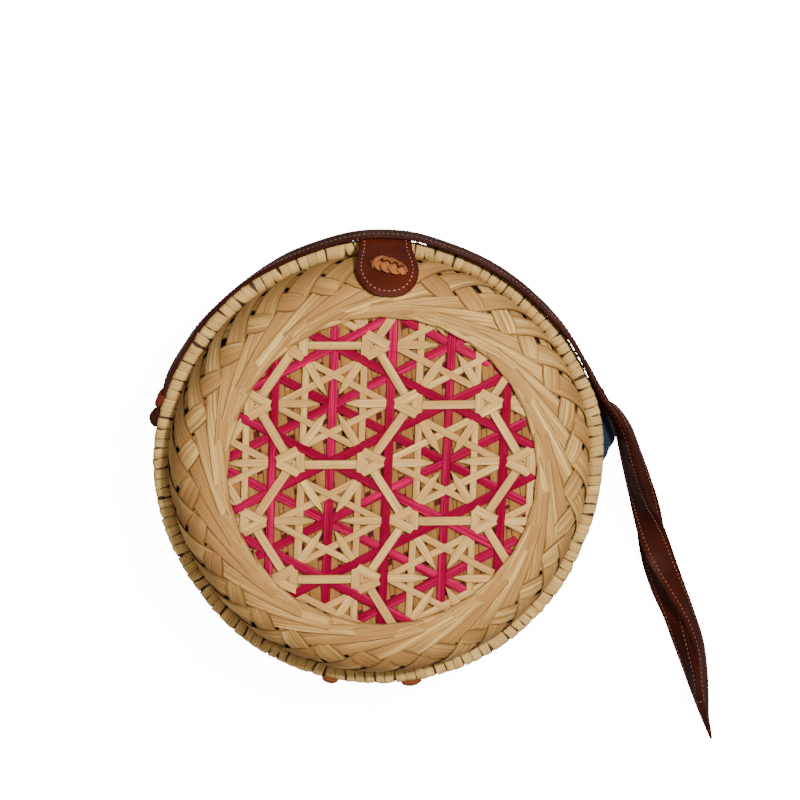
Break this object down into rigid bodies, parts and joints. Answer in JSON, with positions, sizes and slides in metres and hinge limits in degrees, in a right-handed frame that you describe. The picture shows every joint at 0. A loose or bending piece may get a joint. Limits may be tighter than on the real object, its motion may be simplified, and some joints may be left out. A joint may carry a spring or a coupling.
{
  "type": "round bamboo bag",
  "caption": "Round woven bamboo bag of two bowls closed rim to rim, with a star-weave medallion, a leather tab with a toggle knot and a leather strap.",
  "frame": {"origin": "middle of the back face, on the surface that the bag lies on", "axes": "+Z out of the front face, +Y towards the closure tab, +X towards the loose loop of the strap"},
  "size_m": [0.2591, 0.2421, 0.0814],
  "materials": {
    "bamboo": "split bamboo strips, smooth skin side out, straw coloured and satin",
    "whipping": "split cane whipping, pale and satin",
    "mat": "plain woven backing, tan and matt",
    "magenta_strip": "dyed bamboo strips, magenta and satin",
    "natural_strip": "undyed bamboo strips, satin",
    "tab_leather": "smooth reddish-brown leather with pale stitching",
    "knot_leather": "plaited tan leather thong",
    "strap_leather": "dark reddish-brown leather with burnished edges and two rows of stitching",
    "navy_cloth": "plain woven navy cotton"
  },
  "bodies": {
    "root": {"front_bowl": "bamboo", "back_bowl": "bamboo", "front_rim": "whipping", "back_rim": "whipping", "front_mat": "mat", "back_mat": "mat", "front_magenta_weave": "magenta_strip", "back_magenta_weave": "magenta_strip", "front_natural_weave": "natural_strip", "back_natural_weave": "natural_strip", "closure_tab": "tab_leather", "toggle_knot": "knot_leather", "hinge_loop_left": "tab_leather", "hinge_loop_right": "tab_leather", "strap_lug_left": "strap_leather", "strap_lug_right": "strap_leather", "shoulder_strap": "strap_leather", "side_gusset": "navy_cloth"}
  },
  "joints": []
}
